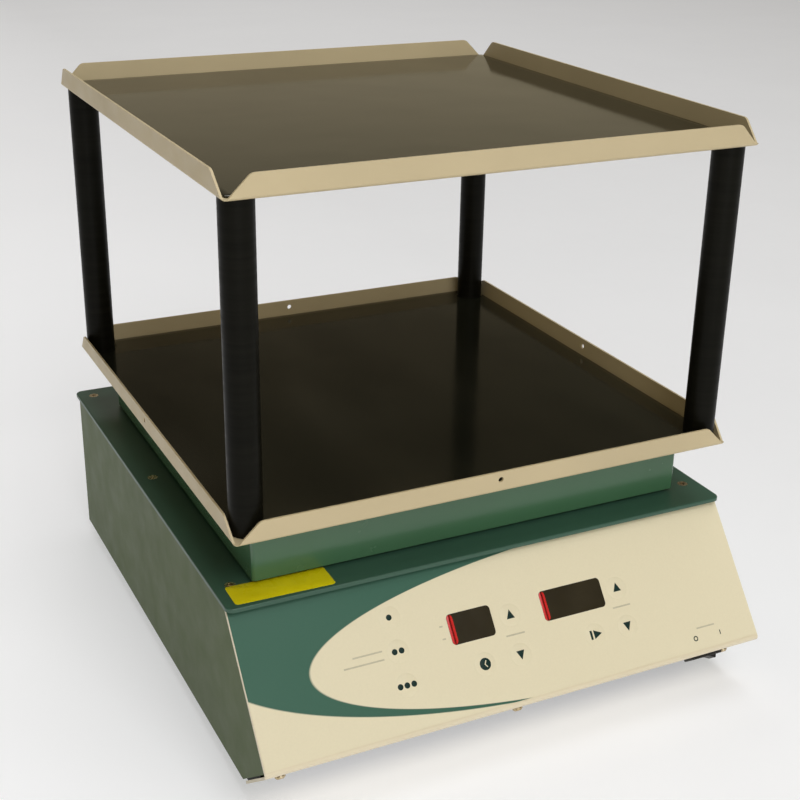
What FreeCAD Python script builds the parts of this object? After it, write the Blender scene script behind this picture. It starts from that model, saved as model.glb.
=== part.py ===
import FreeCAD
import Part
import Sketcher
import math
import os

# Two-tier orbital platform shaker: a green base with a sloping control panel, and a carriage with two
# rimmed trays that runs in a small circle on one driven crank and four idler cranks.
# Millimetres, +Z up, +X to the right seen from the front, the panel faces -Y.
# The origin is on the bench, under the middle of the machine's footprint.

# Driving sizes
SIZES = {
    # Base shell
    "base_width": 398,
    "base_back": 224.2,
    "base_underside": 14,
    "wall": 1.5,
    "top_flange": 20,
    "bottom_flange": 18,
    "shell_bend": 2.5,
    "floor_width": 394,
    "lip_gap": 1.5,
    "lip_end": 19,
    "floor_screw_inset": 9,
    "floor_screw_front": -130,
    "floor_screw_pitch": 160,
    "screw_hole": 2.2,
    "foot_screw_hole": 2.6,
    "vent_x": -110,
    "vent_z": 50,
    "vent_pitch": 9,
    # Sloping front panel, measured on its outer face
    "panel_top_y": -164.8,
    "panel_run": 70.3,
    "panel_rise": 88,
    "panel_sheet": 2,
    "panel_return": 50,
    "nose_bend": 3.5,
    "film": 0.5,
    "film_margin": 4,
    # Windows and keys, placed across and down the panel
    "window_drop": 49.5,
    "window_height": 21.8,
    "window_corner": 3,
    "timer_window_x": -30,
    "timer_window_width": 34.6,
    "speed_window_x": 53.5,
    "speed_window_width": 51.6,
    "program_key_x": -88.2,
    "timer_set_x": -27.4,
    "timer_key_x": 1.5,
    "run_key_x": 63.6,
    "speed_key_x": 91.7,
    "key_row_one": 31,
    "key_row_two": 54.6,
    "key_row_three": 78,
    "arrow_row": 49.4,
    "key_radius": 8,
    "key_travel": 0.5,
    "key_clearance": 0.1,
    "board_depth": 11,
    "board_sheet": 1.6,
    "board_half_width": 112,
    "board_low": -98,
    "board_high": -16,
    "board_screw_x": 106,
    "board_screw_low": -92,
    "board_screw_high": -22,
    "board_screw_hole": 1.6,
    # Power switch on the panel's return
    "switch_x": 157,
    "switch_depth": 16,
    "switch_length": 27,
    "switch_width": 13.6,
    "switch_flange": 1.2,
    "switch_bezel": 2.2,
    "switch_pivot": -3,
    "rocker_tilt": 11,
    "panel_screw_x": 182,
    "panel_screw_depth": 26,
    # Deck
    "deck_width": 400,
    "deck_depth": 406,
    "deck_sheet": 3,
    "deck_top": 137,
    "deck_corner": 6,
    "deck_edge": 0.9,
    "deck_screw_x": 187,
    "deck_screw_pitch": 180,
    "deck_screw_front": -141.3,
    # Drive
    "drive_y": 30.7,
    "orbit": 10,
    "idler_x": 120,
    "idler_y": 110,
    "motor_y": 119,
    "driven_pulley": 65,
    "motor_pulley": 20,
    "belt_width": 12,
    "belt_thick": 2.2,
    "belt_gap": 0.3,
    "belt_bottom": 52.5,
    "main_shaft": 8.5,
    "main_pin": 7.5,
    "idler_shaft": 5,
    "running_gap": 0.03,
    "press_gap": 0.02,
    "crank_top": 155,
    "web_bottom": 141,
    "web_top": 149,
    "pin_top": 177,
    "main_rim": 20,
    "main_race": 12,
    "carriage_rim": 17.5,
    "carriage_race": 11,
    "idler_rim": 13,
    "idler_race": 8,
    "race_bottom": 159,
    "motor_plate_bottom": 70,
    "motor_plate_top": 74,
    "motor_rim": 36,
    "motor_shaft": 4,
    "pillar_spread": 40,
    "supply_x": -138,
    "supply_width": 84,
    "supply_depth": 150,
    "supply_height": 38,
    # Carriage and its two tiers
    "carriage_width": 346,
    "carriage_depth": 336,
    "carriage_sheet": 2,
    "carriage_gap": 2,
    "tray_width": 390,
    "tray_depth": 395,
    "tray_sheet": 1.5,
    "tray_bend": 2.5,
    "tray_corner": 3,
    "lower_tray_z": 184.5,
    "upper_tray_z": 411,
    "rim_height": 16.2,
    "rim_lean": 1,
    "rim_upright": 3,
    "rim_mitre": 18,
    "rim_foot": 3.5,
    "rim_round": 6,
    "rim_hole": 2,
    "rim_hole_height": 10,
    "plain_hole": 3.2,
    "sunk_hole": 2.7,
    "mat": 1.5,
    "mat_margin": 2.5,
    "mat_corner": 3.5,
    "post_radius": 11.5,
    "post_spread": 181,
    "post_tapping": 2.6,
    "post_thread": 22,
    "fixing_x": 150,
    "fixing_y": 50,
    # Feet and mains inlet
    "foot_radius": 17,
    "foot_x": 155,
    "foot_front": -130,
    "foot_back": 181,
    "inlet_x": 120,
    "inlet_z": 62,
    "inlet_screw_x": 20,
    "inlet_flange": 2.5,
    "inlet_width": 27,
    "inlet_height": 20,
    "inlet_floor": 16,
    "inlet_pin": 12,
}

doc = FreeCAD.newDocument("orbital_shaker")
sheet = doc.addObject("Spreadsheet::Sheet", "sizes")
for row, (alias, number) in enumerate(SIZES.items(), start=1):
    sheet.set(f"A{row}", alias)
    sheet.set(f"B{row}", str(number))
    sheet.setAlias(f"B{row}", alias)
doc.recompute()


class Size:
    """A length that keeps its present value and the sheet formula that drives it."""

    def __init__(self, value, formula):
        self.value = float(value)
        self.formula = formula

    def __add__(self, other):
        other = size(other)
        return Size(self.value + other.value, f"({self.formula} + {other.formula})")

    def __sub__(self, other):
        other = size(other)
        return Size(self.value - other.value, f"({self.formula} - {other.formula})")

    def __mul__(self, other):
        other = size(other)
        return Size(self.value * other.value, f"({self.formula} * {other.formula})")

    def __truediv__(self, other):
        other = size(other)
        return Size(self.value / other.value, f"({self.formula} / {other.formula})")

    def __neg__(self):
        return size(0) - self

    def __radd__(self, other):
        return size(other) + self

    def __rsub__(self, other):
        return size(other) - self

    def __rmul__(self, other):
        return size(other) * self

    def root(self):
        return Size(math.sqrt(self.value), f"sqrt({self.formula})")


def size(thing):
    """Take a plain number as a Size, and leave a Size as it is."""
    return thing if isinstance(thing, Size) else Size(thing, repr(float(thing)))


class SheetSizes:
    """Read the sheet's cells by name, as Sizes."""

    def __getattr__(self, alias):
        return Size(sheet.get(alias), f"sizes.{alias}")


s = SheetSizes()
pieces = []


# Small helpers for drawing and building
def keep(thing, label):
    """Give a finished sub-part the label that names its file."""
    thing.Label = label
    pieces.append(thing)
    return thing


def bind(thing, name, value):
    thing.setExpression(name, size(value).formula)


def place(thing, x=0, y=0, z=0):
    for axis, value in zip("xyz", (x, y, z)):
        bind(thing, f"Placement.Base.{axis}", value)
    return thing


def tilt(thing, formula):
    """Turn a sub-part about the X axis by a sheet formula in degrees."""
    thing.Placement = FreeCAD.Placement(FreeCAD.Vector(), FreeCAD.Rotation(FreeCAD.Vector(1, 0, 0), 1))
    thing.setExpression("Placement.Rotation.Angle", formula)
    return thing


def new_body(name):
    return doc.addObject("PartDesign::Body", name)


def drawing_on(body, role, offset=0):
    """Start a sketch on one of the body's own origin planes, moved along the plane's normal."""
    plane = next(item for item in body.Origin.OriginFeatures if item.Role == role)
    drawing = body.newObject("Sketcher::SketchObject", f"{body.Name}_sketch")
    drawing.AttachmentSupport = (plane, [""])
    drawing.MapMode = "FlatFace"
    bind(drawing, "AttachmentOffset.Base.z", offset)
    return drawing


def fix_point(drawing, element, point, x, y):
    """Tie a point of a sketch to its place across and up from the sketch's origin."""
    for kind, axis, value in (("DistanceX", -2, size(x)), ("DistanceY", -1, size(y))):
        if abs(value.value) < 1e-9:
            drawing.addConstraint(Sketcher.Constraint("PointOnObject", element, point, axis))
            continue
        rule = Sketcher.Constraint(kind, -1, 1, element, point, value.value)
        number = drawing.addConstraint(rule)
        drawing.setExpression(f"Constraints[{number}]", value.formula)


def polygon(drawing, corners):
    first = drawing.GeometryCount
    count = len(corners)
    points = [FreeCAD.Vector(size(x).value, size(y).value, 0) for x, y in corners]
    for index in range(count):
        drawing.addGeometry(Part.LineSegment(points[index], points[(index + 1) % count]), False)
    for index in range(count):
        following = first + (index + 1) % count
        drawing.addConstraint(Sketcher.Constraint("Coincident", first + index, 2, following, 1))
        fix_point(drawing, first + index, 1, *corners[index])
    return drawing


def rectangle(drawing, left, right, bottom, top):
    return polygon(drawing, [(left, bottom), (right, bottom), (right, top), (left, top)])


def centred(drawing, x, y, width, height):
    width, height = size(width), size(height)
    return rectangle(drawing, x - width / 2, x + width / 2, y - height / 2, y + height / 2)


def circle(drawing, x, y, radius):
    centre = FreeCAD.Vector(size(x).value, size(y).value, 0)
    up = FreeCAD.Vector(0, 0, 1)
    element = drawing.addGeometry(Part.Circle(centre, up, size(radius).value), False)
    rule = drawing.addConstraint(Sketcher.Constraint("Radius", element, size(radius).value))
    drawing.setExpression(f"Constraints[{rule}]", size(radius).formula)
    fix_point(drawing, element, 3, x, y)
    return drawing


def cross(drawing, length, width):
    """Draw the plus shape of a cross-head recess."""
    far, near = size(length) / 2, size(width) / 2
    quarter = [(near, -far), (near, -near), (far, -near)]
    corners = []
    for turned in range(4):
        corners += quarter
        quarter = [(-y, x) for x, y in quarter]
    return polygon(drawing, corners)


def tangent_loop(drawing, big, small, distance):
    """Draw the line of a belt round a big circle at the sketch's origin and a small one above it."""
    lean = (big - small) / distance
    reach = (1 - lean * lean).root()
    centres = [(size(0), size(0)), (size(0), distance)]
    start = math.asin(lean.value)
    up = FreeCAD.Vector(0, 0, 1)
    arcs = []
    spans = [(math.pi - start, 2 * math.pi + start), (start, math.pi - start)]
    for (x, y), radius, span in zip(centres, (big, small), spans):
        ring = Part.Circle(FreeCAD.Vector(x.value, y.value, 0), up, radius.value)
        arc = drawing.addGeometry(Part.ArcOfCircle(ring, *span), False)
        rule = drawing.addConstraint(Sketcher.Constraint("Radius", arc, radius.value))
        drawing.setExpression(f"Constraints[{rule}]", radius.formula)
        fix_point(drawing, arc, 3, x, y)
        arcs.append(arc)
    for side, big_end, small_end in ((1, 2, 1), (-1, 1, 2)):
        low = FreeCAD.Vector(side * big.value * reach.value, big.value * lean.value, 0)
        high = FreeCAD.Vector(side * small.value * reach.value, distance.value + small.value * lean.value, 0)
        line = drawing.addGeometry(Part.LineSegment(low, high), False)
        drawing.addConstraint(Sketcher.Constraint("Tangent", line, 1, arcs[0], big_end))
        drawing.addConstraint(Sketcher.Constraint("Tangent", line, 2, arcs[1], small_end))
    return drawing


def pad(body, drawing, length, symmetric=False, reverse=False):
    feature = body.newObject("PartDesign::Pad", f"{body.Name}_pad")
    feature.Profile = drawing
    bind(feature, "Length", length)
    feature.SideType = "Symmetric" if symmetric else "One side"
    feature.Reversed = reverse
    doc.recompute()
    return feature


def pocket(body, drawing, depth=None, symmetric=False, reverse=False):
    """Cut a sketch into the body, right through where no depth is given, and make sure that it cuts."""
    before = body.Shape.Volume
    feature = body.newObject("PartDesign::Pocket", f"{body.Name}_pocket")
    feature.Profile = drawing
    feature.SideType = "Symmetric" if symmetric else "One side"
    feature.Reversed = reverse
    if depth is None:
        feature.Type = "ThroughAll"
    else:
        bind(feature, "Length", depth)
    doc.recompute()
    if body.Shape.Volume > before - 1e-6:
        raise RuntimeError(f"{body.Name}: a pocket cuts nothing")
    return feature


def turn(body, profile):
    """Turn a closed profile of (radius, height) corners about the body's Z axis."""
    drawing = polygon(drawing_on(body, "XZ_Plane"), profile)
    feature = body.newObject("PartDesign::Revolution", f"{body.Name}_turned")
    feature.Profile = drawing
    feature.ReferenceAxis = (drawing, ["V_Axis"])
    feature.Angle = 360
    doc.recompute()
    return feature


def round_edges(body, radius, wanted):
    """Fillet each edge of the body's last feature that the test accepts."""
    base = body.Tip
    names = [f"Edge{i}" for i, edge in enumerate(base.Shape.Edges, start=1) if wanted(edge)]
    feature = body.newObject("PartDesign::Fillet", f"{body.Name}_round")
    feature.Base = (base, names)
    bind(feature, "Radius", radius)
    doc.recompute()
    return feature


def along(edge, axis):
    """Tell whether an edge is straight and runs along one axis: 0, 1 or 2."""
    if not isinstance(edge.Curve, Part.Line):
        return False
    return abs(abs(edge.tangentAt(edge.FirstParameter)[axis]) - 1) < 1e-6


def at(edge, axis, value):
    return abs(edge.BoundBox.Center[axis] - size(value).value) < 1e-3


def outermost(edge, box, axis):
    """Tell whether an edge's middle is on the low or high side of a box along an axis."""
    low, high = ((box.XMin, box.XMax), (box.YMin, box.YMax), (box.ZMin, box.ZMax))[axis]
    middle = edge.BoundBox.Center[axis]
    return min(abs(middle - low), abs(middle - high)) < 1e-3


def copies(source, label, spots):
    """Repeat one body at several spots, as a group of separate solids."""
    group = doc.addObject("App::Link", label)
    group.LinkedObject = source
    group.ShowElement = False
    group.ElementCount = len(spots)
    places = [FreeCAD.Vector(*(size(value).value for value in spot)) for spot in spots]
    group.PlacementList = [FreeCAD.Placement(point, FreeCAD.Rotation()) for point in places]
    doc.recompute()
    return group


def together(label, groups):
    """Keep several groups of solids in one node."""
    joined = doc.addObject("Part::Compound", label)
    joined.Links = groups
    doc.recompute()
    return keep(joined, label)


def joined(name, kind, parts):
    """Fuse, or cut the rest from the first of, several Part objects."""
    if kind == "fuse":
        result = doc.addObject("Part::MultiFuse", name)
        result.Shapes = parts
        result.Refine = True
    else:
        result = doc.addObject("Part::Cut", name)
        result.Base, result.Tool = parts
    doc.recompute()
    return result


def screw(name, head_radius, head_height, shank_radius, length, flat_top):
    """Turn a cross-head screw, head up, with its bearing edge at the origin of its frame."""
    body = new_body(name)
    if flat_top:
        head = [(0, 0), (head_radius, 0), (shank_radius, -head_height)]
        top = 0
    else:
        crown = size(head_radius) * 0.62
        shoulder = size(head_height) * 0.5
        head = [(0, head_height), (crown, head_height), (head_radius, shoulder), (head_radius, 0),
                (shank_radius, 0)]
        top = head_height
    turn(body, head + [(shank_radius, -size(length)), (0, -size(length))])
    recess = cross(drawing_on(body, "XY_Plane", top), size(head_radius) * 1.1, size(head_radius) * 0.26)
    pocket(body, recess, size(head_radius) * 0.3)
    return body


# Worked-out sizes
deck_under = s.deck_top - s.deck_sheet
panel_length = (s.panel_run * s.panel_run + s.panel_rise * s.panel_rise).root()
slope_run = s.panel_run / panel_length
slope_rise = s.panel_rise / panel_length
nose_y = s.panel_top_y - s.panel_run
nose_z = deck_under - s.panel_rise
PANEL_TILT = "atan2(sizes.panel_rise; sizes.panel_run)"
RETURN_TILT = f"90 deg + {PANEL_TILT}"
half_width = s.base_width / 2
floor_screws = [(side * (half_width - s.floor_screw_inset), s.floor_screw_front + s.floor_screw_pitch * row)
                for side in (-1, 1) for row in range(3)]
deck_screws = [(side * s.deck_screw_x, s.deck_screw_front + s.deck_screw_pitch * row)
               for side in (-1, 1) for row in range(3)]
panel_screws = (-s.panel_screw_x, 0, s.panel_screw_x)
inlet_screws = [s.inlet_x + side * s.inlet_screw_x for side in (-1, 1)]
switch_opening = (s.switch_length - s.switch_flange * 2, s.switch_width - s.switch_flange * 3)
tray_fixings = [(s.fixing_x * i, s.fixing_y * j) for i in (-1, 1) for j in (-1, 1)]
board_corners = [(s.board_screw_x * i, y) for i in (-1, 1) for y in (s.board_screw_low, s.board_screw_high)]
floor_bottom = s.base_underside + s.wall
floor_top = floor_bottom + s.wall
carriage_y = s.drive_y - s.orbit
carriage_bottom = s.deck_top + s.carriage_gap
plate_under = s.lower_tray_z - s.carriage_sheet
idler_spots = [(s.idler_x * i, s.drive_y + s.idler_y * j, 0) for i in (-1, 1) for j in (-1, 1)]
hub_spots = [(s.idler_x * i, carriage_y + s.idler_y * j, 0) for i in (-1, 1) for j in (-1, 1)]
post_spots = [(s.post_spread * i, carriage_y + s.post_spread * j, 0) for j in (-1, 1) for i in (-1, 1)]
foot_spots = [(s.foot_x * i, y, 0) for i in (-1, 1) for y in (s.foot_front, s.foot_back)]
keys = {
    "key_program_one": (s.program_key_x, s.key_row_one),
    "key_program_two": (s.program_key_x, s.key_row_two),
    "key_program_three": (s.program_key_x, s.key_row_three),
    "key_timer_up": (s.timer_key_x, s.arrow_row),
    "key_timer_down": (s.timer_key_x, s.key_row_three),
    "key_timer_set": (s.timer_set_x, s.key_row_three),
    "key_run": (s.run_key_x, s.key_row_three),
    "key_speed_up": (s.speed_key_x, s.arrow_row),
    "key_speed_down": (s.speed_key_x, s.key_row_three),
}
windows = {
    "timer_window": (s.timer_window_x, s.timer_window_width),
    "speed_window": (s.speed_window_x, s.speed_window_width),
}


def at_window_corner(edge):
    """Tell whether an edge stands at a corner of one of the panel's windows."""
    middle = edge.BoundBox.Center
    across = [abs(abs(middle.x - x.value) - width.value / 2) for x, width in windows.values()]
    down = abs(abs(middle.y + s.window_drop.value) - s.window_height.value / 2)
    return along(edge, 2) and min(across) < 1e-3 and down < 1e-3


def on_panel(body):
    """Lay a body on the sloping panel: its XY plane on the panel's outer face, its Y axis up the slope."""
    return tilt(place(body, 0, s.panel_top_y, deck_under), PANEL_TILT)


def on_return(thing, x, depth, out=0):
    """Set a piece on the panel's return, its Z axis out of the sheet, a depth behind the nose."""
    y, z = panel_point(depth, -size(out))
    return place(tilt(thing, RETURN_TILT), x, y, z)


def panel_point(out, up):
    """Give the Y and Z of a point behind the nose along the return and up the panel from it."""
    return (nose_y + out * slope_rise + up * slope_run, nose_z - out * slope_run + up * slope_rise)


def behind_nose(up, height):
    """Give the Y and Z where a line beside the return, up the panel from it, comes down to a height."""
    out = (nose_z + up * slope_rise - height) / slope_run
    return panel_point(out, up)


# Bent floor sheet, with a front lip behind the panel's return
def make_base_plate():
    body = new_body("floor_sheet")
    low, high = s.panel_sheet, s.panel_sheet + s.wall
    back = s.base_back - s.wall - 0.5
    outline = [(back, floor_bottom), behind_nose(low, floor_bottom), panel_point(s.lip_end, low),
               panel_point(s.lip_end, high), behind_nose(high, floor_top), (back, floor_top)]
    pad(body, polygon(drawing_on(body, "YZ_Plane"), outline), s.floor_width, symmetric=True)
    notch = rectangle(drawing_on(body, "XZ_Plane"), s.switch_x - 20, s.switch_x + 20, floor_top + 3, nose_z)
    pocket(body, notch, symmetric=True)
    holes = drawing_on(body, "XY_Plane")
    for x, y, z in foot_spots:
        circle(holes, x, y, s.foot_screw_hole)
    for x, y in floor_screws:
        circle(holes, x, y, s.screw_hole)
    for row in range(8):
        centred(holes, 0, s.drive_y - 84 + row * 12, 90, 4)
    pocket(body, holes, symmetric=True)
    drills = []
    drill_length = 8
    for x in panel_screws:
        drill = doc.addObject("Part::Cylinder", "lip_drill")
        bind(drill, "Radius", s.screw_hole)
        bind(drill, "Height", drill_length)
        drills.append(on_return(drill, x, s.panel_screw_depth, -drill_length))
    keep(joined("drilled_floor", "cut", [body, joined("lip_drills", "fuse", drills)]), "base_plate")


# Left, rear and right walls in one bent sheet, with flanges for the deck and the floor
def make_body_shell():
    body = new_body("body_shell")
    edge = s.panel_sheet + s.lip_gap
    front_top = (s.panel_top_y + s.panel_sheet / slope_rise, deck_under)
    outline = [(s.base_back, s.base_underside), (s.base_back, deck_under), front_top,
               panel_point(s.panel_sheet, edge), behind_nose(edge, s.base_underside)]
    pad(body, polygon(drawing_on(body, "YZ_Plane"), outline), s.base_width, symmetric=True)
    inside = rectangle(drawing_on(body, "YZ_Plane"), nose_y - 10, s.base_back - s.wall,
                       s.base_underside + s.wall, deck_under - s.wall)
    pocket(body, inside, s.base_width - s.wall * 2, symmetric=True)
    for plane_z, flange in ((deck_under, s.top_flange), (s.base_underside + s.wall, s.bottom_flange)):
        opening = rectangle(drawing_on(body, "XY_Plane", plane_z), flange - half_width, half_width - flange,
                            nose_y - 10, s.base_back - flange)
        pocket(body, opening, s.wall)
    rear = drawing_on(body, "XZ_Plane", -s.base_back)
    centred(rear, s.inlet_x, s.inlet_z, s.inlet_width + 0.4, s.inlet_height + 0.4)
    for x in inlet_screws:
        circle(rear, x, s.inlet_z, 1.8)
    for row in range(6):
        centred(rear, s.vent_x, s.vent_z + s.vent_pitch * row, 110, 3)
    pocket(body, rear, s.wall + 1, reverse=True)
    for plane_z, spots in ((deck_under, deck_screws), (s.base_underside + s.wall, floor_screws)):
        holes = drawing_on(body, "XY_Plane", plane_z)
        for x, y in spots:
            circle(holes, x, y, s.screw_hole)
        pocket(body, holes, s.wall)
    box = body.Shape.BoundBox
    round_edges(body, s.shell_bend,
                lambda edge: along(edge, 2) and outermost(edge, box, 0) and outermost(edge, box, 1))
    keep(body, "body_shell")


# Cream panel sheet: the sloping face and a square return under it
def make_front_panel():
    body = on_panel(new_body("front_panel"))
    sheet_edge = s.panel_sheet - panel_length
    outline = [(-0.5, 0), (-0.5, -s.panel_sheet), (sheet_edge, -s.panel_sheet), (sheet_edge, -s.panel_return),
               (-panel_length, -s.panel_return), (-panel_length, 0)]
    pad(body, polygon(drawing_on(body, "YZ_Plane"), outline), s.base_width, symmetric=True)
    round_edges(body, s.nose_bend,
                lambda edge: along(edge, 0) and at(edge, 1, -panel_length) and at(edge, 2, 0))
    face = drawing_on(body, "XY_Plane")
    for x, width in windows.values():
        centred(face, x, -s.window_drop, width, s.window_height)
    for x, drop in keys.values():
        circle(face, x, -drop, s.key_radius + s.key_clearance)
    pocket(body, face, s.panel_sheet)
    round_edges(body, s.window_corner, at_window_corner)
    under = drawing_on(body, "XZ_Plane", panel_length)
    centred(under, s.switch_x, -s.switch_depth, *switch_opening)
    for x in panel_screws:
        circle(under, x, -s.panel_screw_depth, s.screw_hole)
    pocket(body, under, s.panel_sheet)
    keep(body, "front_panel")


# Printed film over the panel's face, with clear places for the windows and keys
def make_panel_overlay():
    body = on_panel(new_body("panel_overlay"))
    film = drawing_on(body, "XY_Plane")
    rectangle(film, 0.5 - half_width, half_width - 0.5, s.film_margin - panel_length, -1)
    for x, drop in keys.values():
        circle(film, x, -drop, s.key_radius + s.key_clearance)
    for x, width in windows.values():
        centred(film, x, -s.window_drop, width, s.window_height)
    pad(body, film, s.film)
    round_edges(body, s.window_corner, at_window_corner)
    keep(body, "panel_overlay")


# Tinted panes in the panel, with the lit number modules and the board behind them
def make_displays():
    for label, (x, width) in windows.items():
        pane = on_panel(new_body(label))
        outline = drawing_on(pane, "XY_Plane", -s.panel_sheet)
        centred(outline, x, -s.window_drop, width, s.window_height)
        pad(pane, outline, s.panel_sheet + s.film * 0.8)
        round_edges(pane, s.window_corner, at_window_corner)
        keep(pane, label)
    modules = []
    for label, (x, width) in windows.items():
        module = on_panel(new_body(f"{label}_module"))
        face = drawing_on(module, "XY_Plane", -s.board_depth)
        pad(module, centred(face, x, -s.window_drop, width - 1.6, 19), s.board_depth - s.panel_sheet - 0.5)
        modules.append(module)
    together("led_displays", modules)

    board = on_panel(new_body("control_board"))
    outline = drawing_on(board, "XY_Plane", -s.board_depth)
    rectangle(outline, -s.board_half_width, s.board_half_width, s.board_low, s.board_high)
    for x, y in board_corners:
        circle(outline, x, y, s.board_screw_hole)
    pad(board, outline, s.board_sheet, reverse=True)
    keep(board, "control_board")

    spacer = new_body("board_spacer")
    ring = drawing_on(spacer, "XY_Plane", -s.board_depth)
    circle(ring, 0, 0, 3)
    circle(ring, 0, 0, s.board_screw_hole)
    pad(spacer, ring, s.board_depth - s.panel_sheet)
    spots = [(x, y, 0) for x, y in board_corners]
    keep(on_panel(copies(spacer, "board_spacers", spots)), "board_spacers")


# Nine keys of film on stems, and the small switches that they press
def make_keys():
    switch = new_body("key_switch")
    pad(switch, centred(drawing_on(switch, "XY_Plane", -s.board_depth), 0, 0, 6, 6), 2.2)
    pad(switch, circle(drawing_on(switch, "XY_Plane", 2.2 - s.board_depth), 0, 0, 1.6), 0.9)
    spots = [(x, -drop, 0) for x, drop in keys.values()]
    keep(on_panel(copies(switch, "key_switches", spots)), "key_switches")
    back = -s.panel_sheet - 0.3
    stem_end = 3.6 + s.key_travel - s.board_depth
    collar = s.key_radius + 1.2
    for label, (x, drop) in keys.items():
        body = tilt(new_body(label), PANEL_TILT)
        place(body, x, s.panel_top_y - drop * slope_run, deck_under - drop * slope_rise)
        turn(body, [(0, s.film), (s.key_radius, s.film), (s.key_radius, back), (collar, back),
                    (collar, back - 1), (2, back - 1), (2, stem_end), (0, stem_end)])
        keep(body, label)


# Mains rocker switch under the nose, shown switched off
def make_power_switch():
    body_depth, well_depth, rocker_width, pin_radius = size(18), size(9), size(8.2), size(1.5)
    body = on_return(new_body("power_switch"), s.switch_x, s.switch_depth)
    pad(body, centred(drawing_on(body, "XY_Plane"), 0, 0, s.switch_length, s.switch_width), s.switch_bezel)
    round_edges(body, 1.5, lambda edge: along(edge, 2))
    round_edges(body, 0.8, lambda edge: at(edge, 2, s.switch_bezel))
    pad(body, centred(drawing_on(body, "XY_Plane"), 0, 0, *switch_opening), body_depth, reverse=True)
    well = centred(drawing_on(body, "XY_Plane", s.switch_bezel), 0, 0, 22.6, rocker_width + 0.6)
    pocket(body, well, well_depth + s.switch_bezel)
    pin_hole = circle(drawing_on(body, "XZ_Plane"), 0, s.switch_pivot, pin_radius + s.running_gap)
    pocket(body, pin_hole, body_depth, symmetric=True)
    for x in (-7, 0, 7):
        pad(body, centred(drawing_on(body, "XY_Plane", -body_depth), x, 0, 0.8, 4.8), 8, reverse=True)
    keep(body, "power_switch")

    rocker = on_return(new_body("power_rocker"), s.switch_x, s.switch_depth)
    right = [(6.5, -2.5), (10.8, 0), (9.2, 6.2), (5, 5.1)]
    left = [(-x, z) for x, z in reversed(right)]
    side = polygon(drawing_on(rocker, "XZ_Plane"), right + [(0, 4.6)] + left)
    side.AttachmentOffset = FreeCAD.Placement(FreeCAD.Vector(), FreeCAD.Rotation(FreeCAD.Vector(0, 0, 1), 1))
    bind(side, "AttachmentOffset.Base.y", s.switch_pivot)
    bind(side, "AttachmentOffset.Rotation.Angle", s.rocker_tilt)
    pad(rocker, side, rocker_width, symmetric=True)
    round_edges(rocker, 0.7, lambda edge: along(edge, 1) and edge.BoundBox.Center.z > 1
                and abs(edge.BoundBox.Center.x) > 7)
    pin = circle(drawing_on(rocker, "XZ_Plane"), 0, s.switch_pivot, pin_radius)
    pad(rocker, pin, rocker_width + 1.2, symmetric=True)
    keep(rocker, "power_rocker")


# Top plate of the base
def make_deck():
    body = new_body("deck")
    outline = centred(drawing_on(body, "XY_Plane", deck_under), 0, s.drive_y, s.deck_width, s.deck_depth)
    circle(outline, 0, s.drive_y, s.main_shaft * 2)
    for x, y, z in idler_spots:
        circle(outline, x, y, s.idler_shaft * 2)
    pad(body, outline, s.deck_sheet)
    box = body.Shape.BoundBox
    round_edges(body, s.deck_corner, lambda edge: along(edge, 2) and outermost(edge, box, 0))
    round_edges(body, s.deck_edge,
                lambda edge: at(edge, 2, s.deck_top) and (outermost(edge, box, 0) or outermost(edge, box, 1)))
    points = drawing_on(body, "XY_Plane", s.deck_top)
    for x, y in deck_screws:
        circle(points, x, y, s.screw_hole)
    doc.recompute()
    hole = body.newObject("PartDesign::Hole", "deck_holes")
    hole.Profile = points
    bind(hole, "Diameter", s.screw_hole * 2)
    hole.DepthType = "ThroughAll"
    hole.HoleCutType = "Countersink"
    hole.HoleCutCustomValues = True
    hole.HoleCutDiameter = 8.2
    hole.HoleCutCountersinkAngle = 90
    doc.recompute()
    keep(body, "deck")


# Screws that hold the sheets together
def make_screws():
    deck_screw = screw("deck_screw", 4, 1.9, 2.1, 11, True)
    spots = [(x, y, s.deck_top - 0.1) for x, y in deck_screws]
    keep(copies(deck_screw, "deck_screws", spots), "deck_screws")

    panel_screw = screw("panel_screw", 3.8, 2.6, 2, 9, False)
    group = copies(panel_screw, "panel_screws", [(x, 0, 0) for x in panel_screws])
    keep(on_return(group, 0, s.panel_screw_depth), "panel_screws")

    floor_screw = screw("floor_screw", 3.8, 2.4, 2, 8, False)
    group = copies(floor_screw, "base_screws", [(x, -y, 0) for x, y in floor_screws])
    keep(place(tilt(group, "180"), 0, 0, s.base_underside), "base_screws")

    depth = s.board_depth + s.board_sheet
    board_screw = screw("board_screw", 2.7, 1.8, 1.5, depth - s.panel_sheet - 0.3, False)
    group = copies(board_screw, "board_screws", [(x, -y, 0) for x, y in board_corners])
    place(group, 0, s.panel_top_y + depth * slope_rise, deck_under - depth * slope_run)
    keep(tilt(group, f"180 deg + {PANEL_TILT}"), "board_screws")


# Turned rubber feet, each held by a screw up its middle
def make_feet():
    foot = new_body("foot")
    rim, well, seat, hole = s.foot_radius, 5.5, 7, s.foot_screw_hole
    turn(foot, [(well, 0), (rim - 1, 0), (rim, 1), (rim - 2, floor_bottom), (hole, floor_bottom),
                (hole, seat), (well, seat)])
    keep(copies(foot, "rubber_feet", foot_spots), "rubber_feet")
    foot_screw = screw("foot_screw", 4.8, 3, 2.5, 14, False)
    group = copies(foot_screw, "foot_screws", [(x, -y, 0) for x, y, z in foot_spots])
    keep(place(tilt(group, "180"), 0, 0, seat), "foot_screws")


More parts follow.
